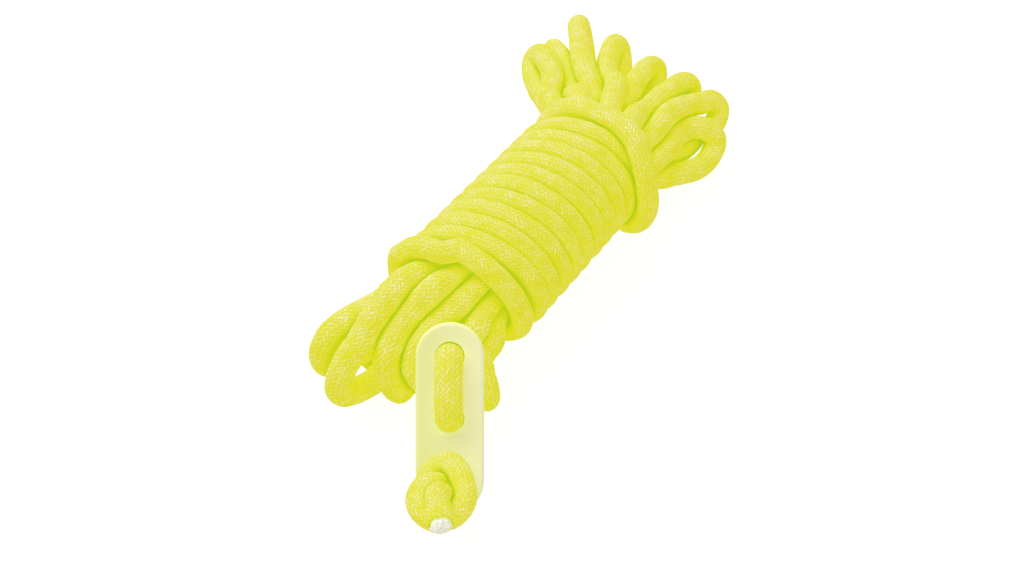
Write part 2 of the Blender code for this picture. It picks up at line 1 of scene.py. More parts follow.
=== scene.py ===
"""Looks of a hank of braided guy rope with a three-hole runner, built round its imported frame.

The rope's centre line is read from the rings of the CAD runs and joined into one path.
Every run becomes a braided tube cut from that path, so that the braid runs on from piece
to piece.  Lengths are in metres, written as a number of millimetres times MM.
"""

import itertools
import json
import math

import bmesh
import bpy
import numpy as np
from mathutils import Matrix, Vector, geometry


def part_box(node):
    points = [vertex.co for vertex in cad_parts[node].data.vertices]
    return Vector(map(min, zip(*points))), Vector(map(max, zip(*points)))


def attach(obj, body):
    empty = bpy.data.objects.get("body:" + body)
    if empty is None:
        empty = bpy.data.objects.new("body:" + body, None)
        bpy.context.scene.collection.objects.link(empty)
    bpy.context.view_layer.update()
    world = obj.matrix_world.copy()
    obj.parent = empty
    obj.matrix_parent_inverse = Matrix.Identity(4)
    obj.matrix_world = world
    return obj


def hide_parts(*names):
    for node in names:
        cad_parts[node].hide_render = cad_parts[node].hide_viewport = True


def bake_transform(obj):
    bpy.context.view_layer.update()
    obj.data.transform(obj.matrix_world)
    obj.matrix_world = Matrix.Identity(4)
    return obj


MM = 0.001
WELD = 1e-6            # vertices closer than this are one
FLAT = 0.9999          # cosine between the normals of faces in one plane
ROUND = 0.3            # spread of the corners of a rope end, over their mean distance
CAD_SIDES = 8          # vertices of a ring of a CAD run

# Order of the runs, from the knot's cut end to the free end
ROUTE = ("o9", "i3", "o10", "o6", "o8", "o7", "i4", "i2", "o0", "o5", "i0", "i1",
         "o1", "o4", "o2", "o3")
BIGHTS = ("fan_bight_g", "near_bight_f", "fan_bight_f", "near_bight_g", "fan_bight_h",
          "near_bight_e", "fan_bight_e", "near_bight_d", "fan_bight_d", "near_bight_c",
          "fan_bight_c", "near_bight_b", "fan_bight_b", "near_bight_a", "fan_bight_a")
START_RUNS = ("stopper_knot", "runner_back_run", "runner_front_run", "tail_end", "tail_root")
END_RUNS = ("wrap_start", "wrap_coil", "wrap_last_turn")
WRAP_PARTS = 4
# Bights baked in place, not bound to a body: their body, and 1 or -1 for the end of the hank
# they are at
SWINGING = {"fan_bight_a": ("fan_left", 1), "fan_bight_h": ("fan_right", 1),
            "near_bight_a": ("near_left", -1)}

# Braid: columns of slanting floats along the rope, over two and under two
COLUMNS = 16
SIDES = 80             # vertices round the rope, a multiple of COLUMNS
STITCH = 1.12 * MM     # length of one float along the rope
RING_STEP = 0.24 * MM
COARSE_STEP = 2.0 * MM
HIDDEN = 20.0 * MM     # passes are hidden in the wrap up to here
RELIEF = 0.27 * MM     # depth of the braid's pits below its crests
PROUD = 0.20 * MM      # how far the crests stand out of the CAD rope
COLUMN_LEAN = 0.75     # where in its column a float is widest
ENVELOPE = 0.42        # rise of a float in the middle of its column
RIDGE = 0.95           # rise of a float across its width
UNEVEN = 0.45          # share by which one float may be flatter than another
SOFTNESS = 0.12        # width of the crossover between two floats
LUMP = 0.07 * MM       # slow unevenness of the rope's thickness

# Rope out of the CAD's simple tubes
WRAP_WIDTH = 0.93      # axial over radial width of a squeezed turn
WRAP_STRAY = 0.30 * MM     # how far a turn of the wrap strays from the even helix
EASE = 6.0 * MM        # length over which the rope is squeezed and swells again
RUN_SWELL = 0.34 * MM  # rope fills the runner's holes more than the CAD rope does
TAIL_FEED = 1.2 * MM   # tail that goes on inside the bend behind the runner
TAIL_JOIN = 3.4 * MM   # distance from the top hole to where the tail is straight
TAIL_BEND = 3.0 * MM   # length along the tail from its end, where the runner tilts; the point it marks is not used
ROOT_BEND = 6.0 * MM   # length along the tail from the root's end, where the tail lifts; the point it marks is not used
END_BEND = 2.5 * MM    # length along a cut end; the point it marks is not used

# Cut ends
END_RADIUS = 3.30 * MM     # relaxed sheath at a cut
RIM_IN = 0.35 * MM     # how much the sheath closes in at its rim
SLEEVE_DEPTH = 2.6 * MM    # depth of the open sleeve behind its rim
FRAY = 0.22 * MM       # unevenness of a cut rim
YARNS = 34
YARN_RADIUS = 0.40 * MM
YARN_SIDES = 10
YARN_PROUD = 0.55 * MM     # the shortest yarn stands this far out of the sheath
YARN_SPREAD = 0.95 * MM    # a longer yarn up to this much further
GOLDEN = math.pi * (3 - math.sqrt(5))

# Rope with a painted glow: it gives off yellow light of its own and reflects the rest. The pit
# and crest colours are shaded and lit copies, painted shade and painted light; the deep colour
# is painted shade in creases, darker and greener.
ROPE_SHADED_PIT = (0.11, 0.12, 0.0, 1.0)
ROPE_LIT_CREST = (0.22, 0.21, 0.61, 1.0)
PAINTED_GLOW_SHADED_PIT = (0.66, 0.64, 0.0, 1.0)
PAINTED_GLOW_LIT_CREST = (0.74, 0.67, 0.0, 1.0)
PAINTED_GLOW_CREASE_SHADE = (0.34, 0.52, 0.01, 1.0)

# Runner
EDGE_ROUND = 0.9 * MM
HOLE_ROUND = 0.35      # rounding of the holes' edges over that of the outline
ROUND_STEPS = 7

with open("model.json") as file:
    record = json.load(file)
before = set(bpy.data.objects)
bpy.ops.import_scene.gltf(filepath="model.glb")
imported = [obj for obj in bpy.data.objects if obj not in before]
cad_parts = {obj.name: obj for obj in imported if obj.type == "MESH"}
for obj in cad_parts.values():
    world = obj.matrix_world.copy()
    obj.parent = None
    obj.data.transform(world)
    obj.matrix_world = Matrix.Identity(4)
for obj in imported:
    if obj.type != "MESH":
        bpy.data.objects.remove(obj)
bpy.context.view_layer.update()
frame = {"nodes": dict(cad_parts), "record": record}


def unit(vector):
    return vector / np.linalg.norm(vector)


# ---------------------------------------------------------------- reading the frame

def welded(node):
    """Unique vertices of a CAD node and its triangles."""
    mesh = frame["nodes"][node].data
    places = np.empty(len(mesh.vertices) * 3, np.float32)
    mesh.vertices.foreach_get("co", places)
    places = places.reshape(-1, 3).astype(float)
    keys = np.round(places / WELD).astype(np.int64)
    _, first, back = np.unique(keys, axis=0, return_index=True, return_inverse=True)
    back = back.reshape(-1)
    faces = [[int(back[v]) for v in polygon.vertices] for polygon in mesh.polygons]
    return places[first], faces


def flat_groups(places, faces):
    """Faces of a mesh in groups that lie in one plane and touch."""
    edges = {}
    normals = []
    for index, face in enumerate(faces):
        a, b, c = places[face[:3]]
        normals.append(unit(np.cross(b - a, c - a)))
        for u, v in zip(face, face[1:] + face[:1]):
            edges.setdefault(frozenset((u, v)), []).append(index)
    flat = [set() for _ in faces]
    for pair in edges.values():
        if len(pair) == 2 and normals[pair[0]] @ normals[pair[1]] > FLAT:
            flat[pair[0]].add(pair[1])
            flat[pair[1]].add(pair[0])
    groups = []
    done = set()
    for start in range(len(faces)):
        if start in done:
            continue
        group = {start}
        edge = {start}
        while edge:
            edge = {n for f in edge for n in flat[f]} - group
            group |= edge
        done |= group
        groups.append(group)
    return groups


def end_rings(places, faces):
    """The vertices of what may be a flat end of a CAD run, smallest first."""
    found = []
    for group in flat_groups(places, faces):
        corners = sorted({v for f in group for v in faces[f]})
        if len(group) != CAD_SIDES - 2 or len(corners) != CAD_SIDES:
            continue
        spots = places[corners]
        reach = np.linalg.norm(spots - spots.mean(axis=0), axis=1)
        if np.ptp(reach) < ROUND * reach.mean():
            found.append((reach.mean(), corners))
    return [set(corners) for _, corners in sorted(found)]


def flattest(corners, places):
    """The ring among these vertices: as many as a ring has, and the best in one plane."""
    def height(chosen):
        spots = places[list(chosen)]
        return np.linalg.svd(spots - spots.mean(axis=0), compute_uv=False)[2]
    if not CAD_SIDES < len(corners) <= CAD_SIDES + 3:
        return corners
    return set(min(itertools.combinations(sorted(corners), CAD_SIDES), key=height))


def walk(ring, links, places):
    """Rings of vertices from an end ring onwards."""
    rings = []
    seen = set()
    while ring:
        rings.append(sorted(ring))
        seen |= ring
        ring = flattest({v for u in ring for v in links[u]} - seen, places)
    return rings


def rings_of(node):
    """Centres and radii of the rings of a CAD run, from one of its ends to the other."""
    places, faces = welded(node)
    links = [set() for _ in places]
    for face in faces:
        for a, b in zip(face, face[1:] + face[:1]):
            links[a].add(b)
            links[b].add(a)
    walks = [walk(ring, links, places) for ring in end_rings(places, faces)]
    rings = next(rings for rings in walks if all(len(ring) == CAD_SIDES for ring in rings))
    centres = np.array([places[ring].mean(axis=0) for ring in rings])
    radii = np.array([np.linalg.norm(places[ring] - centre, axis=1).max()
                      for ring, centre in zip(rings, centres)])
    return centres, radii


def plate_frame():
    """Centre, long axis, side axis, front normal and size of the runner."""
    places, _ = welded("runner_plate")
    centre = (places.min(axis=0) + places.max(axis=0)) / 2
    _, _, axes = np.linalg.svd(places - centre, full_matrices=False)
    long_axis = axes[0] * (1 if axes[0][2] > 0 else -1)
    normal = axes[2] * (1 if axes[2][2] > 0 else -1)
    side = np.cross(long_axis, normal)
    size = [np.ptp(places @ axis) for axis in (long_axis, side, normal)]
    return centre, long_axis, side, normal, size


def run_order():
    """Names of the CAD runs along the rope, from the knot to the free end."""
    order = list(START_RUNS)
    for name, bight in zip(ROUTE, BIGHTS):
        order += ["pass_" + name, bight]
    return order + ["pass_" + ROUTE[-1]] + list(END_RUNS)


# ---------------------------------------------------------------- the rope's path

def control_points():
    """Points and radii along the whole rope with the place where each run starts."""
    runs = []
    for name in run_order():
        runs.append([name, *rings_of(name)])
    for index, run in enumerate(runs):
        if index == 0:
            ahead = min(np.linalg.norm(run[1][-1] - end) for end in runs[1][1][[0, -1]])
            behind = min(np.linalg.norm(run[1][0] - end) for end in runs[1][1][[0, -1]])
            turned = behind < ahead
        else:
            last = runs[index - 1][1][-1]
            turned = np.linalg.norm(run[1][-1] - last) < np.linalg.norm(run[1][0] - last)
        if turned:
            run[1], run[2] = run[1][::-1], run[2][::-1]
    return runs


def joined(runs):
    """One list of control points, the two ends at every cut merged into one."""
    tip, middle, _ = cut_end("knot_end")
    points, radii, starts = [tip, middle], [END_RADIUS, END_RADIUS], {"knot_end_sheath": 0}
    for name, centres, sizes in runs:
        if name.startswith("runner_"):
            sizes = sizes + RUN_SWELL
        if name == "wrap_coil":
            centres = strayed(centres)
        if name == "tail_end":
            centres, sizes = tail_beyond_bend(centres, sizes)
            starts[name] = len(points)
        elif len(starts) > 1:
            points[-1] = (points[-1] + centres[0]) / 2
            radii[-1] = (radii[-1] + sizes[0]) / 2
            starts[name] = len(points) - 1
            centres, sizes = centres[1:], sizes[1:]
        else:
            starts[name] = len(points)
        points += list(centres)
        radii += list(sizes)
    tip, middle, _ = cut_end("free_end")
    starts["free_end_sheath"] = len(points) - 1
    points += [middle, tip]
    radii += [END_RADIUS, END_RADIUS]
    return np.array(points), np.array(radii), starts


def cut_end(name):
    """Tip and middle of a cut sheath's axis, and the way it points."""
    sheath, _ = welded(name + "_sheath")
    core, _ = welded(name + "_core")
    ahead = unit(core.mean(axis=0) - sheath.mean(axis=0))
    along = (sheath - sheath.mean(axis=0)) @ ahead
    tip = sheath.mean(axis=0) + ahead * along.max()
    return tip, tip - ahead * np.ptp(along) / 2, ahead


def strayed(centres):
    """The turns of the wrap, a little uneven along the hank and away from it."""
    gaps = np.linalg.norm(np.diff(centres, axis=0), axis=1)
    mm = np.concatenate(((0.0,), np.cumsum(gaps))) / MM
    ease = np.clip(np.minimum(mm, mm[-1] - mm) / 30.0, 0.0, 1.0)[:, None]
    outward = centres - centres.mean(axis=0)
    outward[:, 1] = 0.0
    outward /= np.linalg.norm(outward, axis=1)[:, None]
    along = (np.sin(mm * 0.083 + 0.5) + np.sin(mm * 0.036 + 2.0)) / 2
    out = 0.6 * np.sin(mm * 0.061 + 1.0)
    stray = along[:, None] * np.array((0.0, 1.0, 0.0)) + out[:, None] * outward
    return centres + WRAP_STRAY * ease * stray


def tail_beyond_bend(centres, sizes):
    """The straight tail, from where the bend behind the runner ends."""
    ahead = unit(centres[-1] - centres[0])
    distance = (centres - TOP_HOLE) @ ahead
    first = centres[0] + ahead * (TAIL_JOIN - distance[0])
    keep = distance > TAIL_JOIN + MM
    return np.vstack((first, centres[keep])), np.concatenate(([sizes[0]], sizes[keep]))


def catmull_rom(points, values, step):
    """Centripetal Catmull-Rom through points, sampled every step: places, values, index."""
    pts = np.vstack((2 * points[0] - points[1], points, 2 * points[-1] - points[-2]))
    places, sizes, index = [], [], []
    for i in range(1, len(pts) - 2):
        p0, p1, p2, p3 = pts[i - 1:i + 3]
        t1 = np.linalg.norm(p1 - p0) ** 0.5
        t2 = t1 + np.linalg.norm(p2 - p1) ** 0.5
        t3 = t2 + np.linalg.norm(p3 - p2) ** 0.5
        count = max(2, math.ceil(np.linalg.norm(p2 - p1) / step))
        share = np.arange(count) / count
        t = (t1 + (t2 - t1) * share)[:, None]
        a1 = (t1 - t) / t1 * p0 + t / t1 * p1
        a2 = (t2 - t) / (t2 - t1) * p1 + (t - t1) / (t2 - t1) * p2
        a3 = (t3 - t) / (t3 - t2) * p2 + (t - t2) / (t3 - t2) * p3
        b1 = (t2 - t) / t2 * a1 + t / t2 * a2
        b2 = (t3 - t) / (t3 - t1) * a2 + (t - t1) / (t3 - t1) * a3
        places.append((t2 - t) / (t2 - t1) * b1 + (t - t1) / (t2 - t1) * b2)
        sizes.append(values[i - 1] + (values[i] - values[i - 1]) * share)
        index.append(i - 1 + share)
    places.append(points[-1:])
    sizes.append(values[-1:])
    index.append(np.array([len(points) - 1.0]))
    return np.vstack(places), np.concatenate(sizes), np.concatenate(index)


class Path:
    """The rope's centre line: places, twist-free frames and radii by length."""

    def __init__(self, points, radii):
        places, sizes, index = catmull_rom(points, radii, 0.5 * MM)
        gaps = np.linalg.norm(np.diff(places, axis=0), axis=1)
        self.length = np.concatenate(((0.0,), np.cumsum(gaps)))
        self.places = places
        self.sizes = sizes
        self.index = index
        tangents = np.gradient(places, axis=0)
        self.tangents = tangents / np.linalg.norm(tangents, axis=1)[:, None]
        side = unit(np.cross(self.tangents[0], (0.0, 0.3, 1.0)))
        sides = [side]
        for tangent in self.tangents[1:]:
            side = unit(side - tangent * (side @ tangent))
            sides.append(side)
        self.sides = np.array(sides)

    def at(self, lengths):
        """Places, tangents, sides, ups and radii at the given lengths."""
        def mixed(table):
            return np.stack([np.interp(lengths, self.length, table[:, k]) for k in range(3)], 1)
        places = mixed(self.places)
        tangents = mixed(self.tangents)
        tangents /= np.linalg.norm(tangents, axis=1)[:, None]
        sides = mixed(self.sides)
        sides -= tangents * np.sum(sides * tangents, axis=1)[:, None]
        sides /= np.linalg.norm(sides, axis=1)[:, None]
        return (places, tangents, sides, np.cross(tangents, sides),
                np.interp(lengths, self.length, self.sizes))

    def length_at(self, control):
        """Length along the rope at a control point."""
        return float(np.interp(control, self.index, self.length))


# ---------------------------------------------------------------- the braid

def lottery(first, second):
    """A number from 0 to 1 that is fixed for each pair of whole numbers."""
    value = np.sin(first * 12.9898 + second * 78.233) * 43758.5453
    return value - np.floor(value)


def braid_height(column, row):
    """Height of the braid from 0 in its pits to 1 on its crests."""
    lean = np.cos(math.pi * (column - COLUMN_LEAN)) * ENVELOPE
    stripe = np.round(column - COLUMN_LEAN)
    floats = []
    for way in (1, -1):
        place = row - way * column
        rise = RIDGE * (1 - UNEVEN * lottery(np.round(place), stripe + way * 40))
        floats.append(way * lean + rise * (0.5 + 0.5 * np.cos(2 * math.pi * place)) ** 0.65)
    left, right = floats
    top = (left + right + np.sqrt((left - right) ** 2 + SOFTNESS ** 2)) / 2
    return np.clip(top / (ENVELOPE + RIDGE), 0.0, 1.0)


def wander(lengths, phase):
    """Slow unevenness along the rope, about -1 to 1."""
    mm = lengths / MM
    return (np.sin(mm * 0.37 + phase) + np.sin(mm * 0.83 + 2.1 * phase)
            + np.sin(mm * 1.61 + 0.7 * phase)) / 3


def ripple(lengths, angles, phase):
    """Slow unevenness over the rope's surface, about -1 to 1."""
    mm = (lengths / MM)[:, None]
    around = angles[None, :]
    return (np.sin(mm * 0.55 + phase + 1.4 * np.cos(around + phase))
            + np.sin(mm * 1.15 + 2.3 * phase + 1.8 * np.sin(around))
            + np.sin(mm * 0.21 - phase + 2.2 * np.cos(2 * around + 1.0))) / 3


def surface(path, lengths, shape=None):
    """Rings of braid along part of the path, with their columns, rows and heights."""
    places, tangents, sides, ups, sizes = path.at(lengths)
    angles = 2 * math.pi * np.arange(SIDES) / SIDES
    ways = (sides[:, None, :] * np.cos(angles)[None, :, None]
            + ups[:, None, :] * np.sin(angles)[None, :, None])
    column = COLUMNS * np.arange(SIDES) / SIDES
    row = lengths / STITCH + 0.12 * wander(lengths, 0.4)
    drift = 0.25 * wander(lengths * 0.35, 1.3)[:, None] + 0.16 * ripple(lengths, angles, 0.9)
    skew = 0.22 * ripple(lengths, angles, 2.6)
    height = braid_height(column[None, :] + drift, row[:, None] + skew)
    reach = np.repeat(sizes[:, None], SIDES, axis=1)
    if shape is not None:
        reach = reach * shape(places, tangents, ways, lengths)
    reach = reach + PROUD - RELIEF * (1 - height) + LUMP * ripple(lengths, angles, 4.1)
    return places[:, None, :] + ways * reach[:, :, None], column, row, height


def tube(name, path, lengths, shape=None):
    """Braided tube along part of the path, closed at both ends."""
    return ring_mesh(name, *surface(path, lengths, shape))


def sleeve(name, path, lengths):
    """Braided cut end: the first length is its joint with the rope, the last its open rim."""
    spots, column, row, height = surface(path, lengths)
    middles, tangents, _, _, sizes = path.at(lengths)
    ahead = tangents[-1] * np.sign((middles[-1] - middles[0]) @ tangents[-1])
    angles = 2 * math.pi * np.arange(SIDES) / SIDES
    to_rim = np.linalg.norm(middles - middles[-1], axis=1)
    inwards = RIM_IN * np.exp(-to_rim / (0.7 * MM))
    ways = spots - middles[:, None, :]
    reach = np.linalg.norm(ways, axis=2, keepdims=True)
    ways /= reach
    spots = middles[:, None, :] + ways * (reach - inwards[:, None, None])
    ragged = FRAY * (lottery(np.floor(column * 2), 3.0) - 0.5)
    ragged = ragged * np.exp(-to_rim / (0.5 * MM))[:, None]
    spots = spots + ahead * ragged[:, :, None]
    wall = sizes[-1] - RIM_IN - np.array((0.25, 0.55, 0.7, 0.7)) * MM
    back = np.array((-0.12 * MM, 0.1 * MM, 0.8 * MM, SLEEVE_DEPTH))
    inside = [middles[-1] + ways[-1] * r - ahead * depth + ahead * ragged[-1][:, None]
              for r, depth in zip(wall, back)]
    spots = np.concatenate((spots, np.array(inside)))
    row = np.concatenate((row, row[-1] + np.array((0.2, 0.5, 1.2, 3.0))))
    # The sleeve's inside gets a low relief, so it takes the pits' painted shade.
    height = np.vstack((height, np.full((4, SIDES), 0.35) + 0.0 * angles))
    return ring_mesh(name, spots, column, row, height)


def yarn_bundle(name, tip, ahead, material):
    """Cut core: yarns side by side, each with a domed end standing out of the sheath."""
    side = unit(np.cross(ahead, (0.3, 0.2, 1.0)))
    up = np.cross(side, ahead)
    width = END_RADIUS - RIM_IN - 0.55 * MM
    angles = 2 * math.pi * np.arange(YARN_SIDES) / YARN_SIDES
    bm = bmesh.new()
    for index in range(YARNS):
        share = math.sqrt((index + 0.5) / YARNS)
        turn = index * GOLDEN
        chance = [float(lottery(index, k)) for k in (1.0, 2.0, 3.0)]
        foot = (side * math.cos(turn) + up * math.sin(turn)) * share * (width - YARN_RADIUS)
        lean = foot * 0.12 + (side * (chance[0] - 0.5) + up * (chance[1] - 0.5)) * 0.45 * MM
        proud = YARN_PROUD + YARN_SPREAD * chance[2] * (1.15 - share)
        radius = YARN_RADIUS * (0.85 + 0.3 * chance[0])
        rings = []
        for step, (at, thick) in enumerate(((-SLEEVE_DEPTH, 1.0), (-0.8 * MM, 1.0), (0.0, 1.0),
                                            (proud - 0.2 * MM, 1.06), (proud, 0.80),
                                            (proud + 0.10 * MM, 0.35))):
            centre = tip + foot + ahead * at + lean * max(0.0, at / YARN_PROUD)
            waver = 1 + 0.10 * np.sin(3 * angles + index + step)
            rings.append([bm.verts.new(Vector(
                centre + (side * math.cos(a) + up * math.sin(a)) * radius * thick * w))
                for a, w in zip(angles, waver)])
        for low, high in zip(rings, rings[1:]):
            for k in range(YARN_SIDES):
                bm.faces.new((low[k - 1], low[k], high[k], high[k - 1]))
        bm.faces.new(rings[0][::-1])
        bm.faces.new(rings[-1])
    bmesh.ops.recalc_face_normals(bm, faces=bm.faces)
    return mesh_object(name, bm, material)


def mesh_object(name, bm, material):
    mesh = bpy.data.meshes.new(name)
    bm.to_mesh(mesh)
    bm.free()
    mesh.shade_smooth()
    mesh.materials.append(material)
    made = bpy.data.objects.new(name, mesh)
    bpy.context.scene.collection.objects.link(made)
    return made


def ring_mesh(name, spots, column, row, height):
    """Mesh of rings with end caps; its UV is the braid's column and row."""
    rings, sides = spots.shape[:2]
    verts = np.vstack((spots.reshape(-1, 3), spots[0].mean(axis=0), spots[-1].mean(axis=0)))
    ring = np.arange(rings - 1)[:, None] * sides
    here = np.arange(sides)[None, :]
    after = (here + 1) % sides
    quads = np.stack((ring + here, ring + after, ring + sides + after, ring + sides + here), 2)
    quads = quads.reshape(-1, 4)
    first, last = rings * sides, rings * sides + 1
    here, after = here[0], after[0]
    low = np.stack((after, here, np.full(sides, first)), 1)
    top = (rings - 1) * sides
    high = np.stack((top + here, top + after, np.full(sides, last)), 1)
    loops = np.concatenate((quads.ravel(), low.ravel(), high.ravel()))
    totals = np.concatenate((np.full(len(quads), 4), np.full(2 * sides, 3)))
    mesh = bpy.data.meshes.new(name)
    mesh.vertices.add(len(verts))
    mesh.vertices.foreach_set("co", verts.astype(np.float32).ravel())
    mesh.loops.add(len(loops))
    mesh.loops.foreach_set("vertex_index", loops.astype(np.int32))
    mesh.polygons.add(len(totals))
    starts = np.concatenate(((0,), np.cumsum(totals)[:-1]))
    mesh.polygons.foreach_set("loop_start", starts.astype(np.int32))
    mesh.polygons.foreach_set("loop_total", totals.astype(np.int32))
    mesh.update(calc_edges=True)
    mesh.shade_smooth()
    u = np.concatenate((column, (COLUMNS,)))
    wide = np.stack((here, here + 1, here + 1, here), 1)
    tall = np.arange(rings - 1)[:, None] + np.array((0, 0, 1, 1))
    uv = np.stack((np.broadcast_to(u[wide][None], (rings - 1, sides, 4)),
                   np.broadcast_to(row[tall][:, None], (rings - 1, sides, 4))), 3)
    caps = np.zeros((2 * sides * 3, 2))
    layer = mesh.uv_layers.new(name="braid")
    layer.data.foreach_set("uv", np.vstack((uv.reshape(-1, 2), caps)).astype(np.float32).ravel())
    relief = np.concatenate((height.ravel(), (0.5, 0.5)))
    attribute = mesh.attributes.new("relief", "FLOAT", "POINT")
    attribute.data.foreach_set("value", relief.astype(np.float32))
    made = bpy.data.objects.new(name, mesh)
    bpy.context.scene.collection.objects.link(made)
    return made



def hole_circles():
    """Distance along the plate and radius of each hole of the runner."""
    places, _ = welded("runner_plate")
    along = (places - CENTRE) @ LONG
    across = (places - CENTRE) @ SIDE
    half = (PLATE[0] - PLATE[1]) / 2
    past = np.maximum(np.abs(along) - half, 0.0)
    inside = np.hypot(past, across) < PLATE[1] / 2 - MM
    spots = np.sort(along[inside])
    parts = np.split(spots, np.flatnonzero(np.diff(spots) > 3 * MM) + 1)
    return [((part[0] + part[-1]) / 2, (part[-1] - part[0]) / 2) for part in parts]


# ---------------------------------------------------------------- materials

class Nodes:
    """Short ways to add and join the nodes of one material."""

    def __init__(self, name):
        self.material = bpy.data.materials.new(name)
        self.material.use_nodes = True
        self.tree = self.material.node_tree
        self.shader = self.tree.nodes["Principled BSDF"]
        self.output = self.tree.nodes["Material Output"]

    def add(self, kind, *inputs, out=0, **settings):
        node = self.tree.nodes.new("ShaderNode" + kind)
        for key, value in settings.items():
            setattr(node, key, value)
        for slot, value in enumerate(inputs):
            self.put(node.inputs[slot], value)
        return node.outputs[out]

    def put(self, socket, value):
        if isinstance(value, bpy.types.NodeSocket):
            self.tree.links.new(value, socket)
        elif value is not None:
            socket.default_value = value

    def math(self, operation, *values):
        return self.add("Math", *values, operation=operation)

    def mix(self, share, first, second):
        node = self.tree.nodes.new("ShaderNodeMix")
        node.data_type = "RGBA"
        self.put(node.inputs[0], share)
        self.put(node.inputs[6], first)
        self.put(node.inputs[7], second)
        return node.outputs[2]

    def noise(self, scale, detail=2.0, vector=None):
        node = self.tree.nodes.new("ShaderNodeTexNoise")
        self.put(node.inputs["Vector"], vector or self.place())
        self.put(node.inputs["Scale"], scale)
        self.put(node.inputs["Detail"], detail)
        return node.outputs[0]

    def place(self):
        return self.add("TexCoord", out=3)

    def fit(self, value, low, high, to_low=0.0, to_high=1.0):
        return self.add("MapRange", value, low, high, to_low, to_high)

    def bump(self, height, strength, distance):
        node = self.tree.nodes.new("ShaderNodeBump")
        self.put(node.inputs["Strength"], strength)
        self.put(node.inputs["Distance"], distance)
        self.put(node.inputs["Height"], height)
        return node.outputs[0]

    def set(self, **values):
        for key, value in values.items():
            self.put(self.shader.inputs[key.replace("_", " ")], value)


def rope_material():
    n = Nodes("rope_braid")
    uv = n.add("UVMap", uv_map="braid")
    split = n.tree.nodes.new("ShaderNodeSeparateXYZ")
    n.put(split.inputs[0], uv)
    column, row = split.outputs[0], split.outputs[1]
    relief = n.add("Attribute", out=2, attribute_name="relief")
    lean = n.math("COSINE", n.math("MULTIPLY", n.math("SUBTRACT", column, COLUMN_LEAN), math.pi))
    across = n.math("SUBTRACT", row, n.math("MULTIPLY", column, n.math("SIGN", lean)))
    thread = n.math("SINE", n.math("MULTIPLY", across, 2 * math.pi * 5))
    fuzz = n.noise(2600.0, 3.0)
    patch = n.fit(n.noise(260.0, 3.0), 0.32, 0.68)
    # Painted light and shade: near 1 on lit crests, falling towards 0 in the braid's pits and in
    # occluded creases; fuzz and patch noise vary it.
    painted_crest_light = n.fit(relief, 0.34, 0.90)
    painted_crest_light = n.math("MULTIPLY", painted_crest_light, n.fit(fuzz, 0.25, 0.75, 0.55, 1.2))
    painted_crest_light = n.math("MULTIPLY", painted_crest_light, n.fit(patch, 0.0, 1.0, 0.42, 1.05))
    occlusion_for_painted_shade = n.add("AmbientOcclusion", None, 5 * MM, out=1, samples=8)
    painted_crest_light = n.math("MULTIPLY", painted_crest_light, n.fit(occlusion_for_painted_shade, 0.22, 0.72))
    painted_crest_light = n.add("Clamp", painted_crest_light, 0.0, 1.0)
    colour = n.mix(painted_crest_light, ROPE_SHADED_PIT, ROPE_LIT_CREST)
    # Painted glow, brighter on crests than in pits.
    painted_glow = n.mix(painted_crest_light, PAINTED_GLOW_SHADED_PIT, PAINTED_GLOW_LIT_CREST)
    # Painted shade: occluded creases glow darker and greener.
    painted_glow = n.mix(n.fit(occlusion_for_painted_shade, 0.02, 0.55), PAINTED_GLOW_CREASE_SHADE, painted_glow)
    height = n.math("ADD", n.math("MULTIPLY", thread, 0.25), fuzz)
    n.set(Base_Color=colour, Roughness=n.fit(fuzz, 0.3, 0.7, 0.68, 0.9),
          Specular_IOR_Level=0.06,
          Emission_Color=painted_glow, Emission_Strength=1.0,
          Normal=n.bump(height, 0.4, 0.05 * MM))
    return n.material


def runner_material():
    n = Nodes("runner_plastic")
    place = n.place()
    turned = n.tree.nodes.new("ShaderNodeVectorMath")
    turned.operation = "DOT_PRODUCT"
    n.put(turned.inputs[0], place)
    n.put(turned.inputs[1], tuple(SIDE / MM))
    across = n.math("SUBTRACT", turned.outputs["Value"], float(CENTRE @ SIDE / MM))
    edge = n.fit(n.math("ABSOLUTE", across), 3.5, 7.5)
    lines = n.math("MULTIPLY", n.math("SINE", n.math("MULTIPLY", across, 9.0)), edge)
    grain = n.noise(900.0, 3.0)
    cloud = n.noise(90.0, 2.0)
    colour = n.mix(cloud, (0.40, 0.405, 0.22, 1.0), (0.44, 0.44, 0.25, 1.0))
    # Painted glow, lighter towards one side of the plate than the other: painted light and shade
    # across it.
    painted_glow = n.mix(n.fit(across, -7.0, 7.0), (0.47, 0.48, 0.16, 1.0), (0.55, 0.545, 0.30, 1.0))
    height = n.math("ADD", n.math("MULTIPLY", lines, 0.5), n.math("MULTIPLY", grain, 0.35))
    n.set(Base_Color=colour, Roughness=n.fit(grain, 0.3, 0.7, 0.38, 0.55), IOR=1.46,
          Subsurface_Weight=0.5, Subsurface_Scale=2.5 * MM, Specular_IOR_Level=0.3,
          Emission_Color=painted_glow, Emission_Strength=1.0,
          Normal=n.bump(height, 0.25, 0.04 * MM))
    n.put(n.shader.inputs["Subsurface Radius"], (1.0, 1.0, 0.5))
    return n.material


def core_material():
    n = Nodes("core_yarn")
    fibre = n.noise(4200.0, 4.0)
    speck = n.fit(n.noise(700.0, 1.0), 0.70, 0.74)
    colour = n.mix(fibre, (0.62, 0.62, 0.55, 1.0), (0.80, 0.80, 0.76, 1.0))
    colour = n.mix(speck, colour, (0.85, 0.50, 0.08, 1.0))
    # The emission is a painted glow that brightens the yarns.
    n.set(Base_Color=colour, Roughness=0.9, Specular_IOR_Level=0.2,
          Emission_Color=(0.36, 0.36, 0.29, 1.0), Emission_Strength=1.0,
          Normal=n.bump(fibre, 0.5, 0.06 * MM))
    return n.material


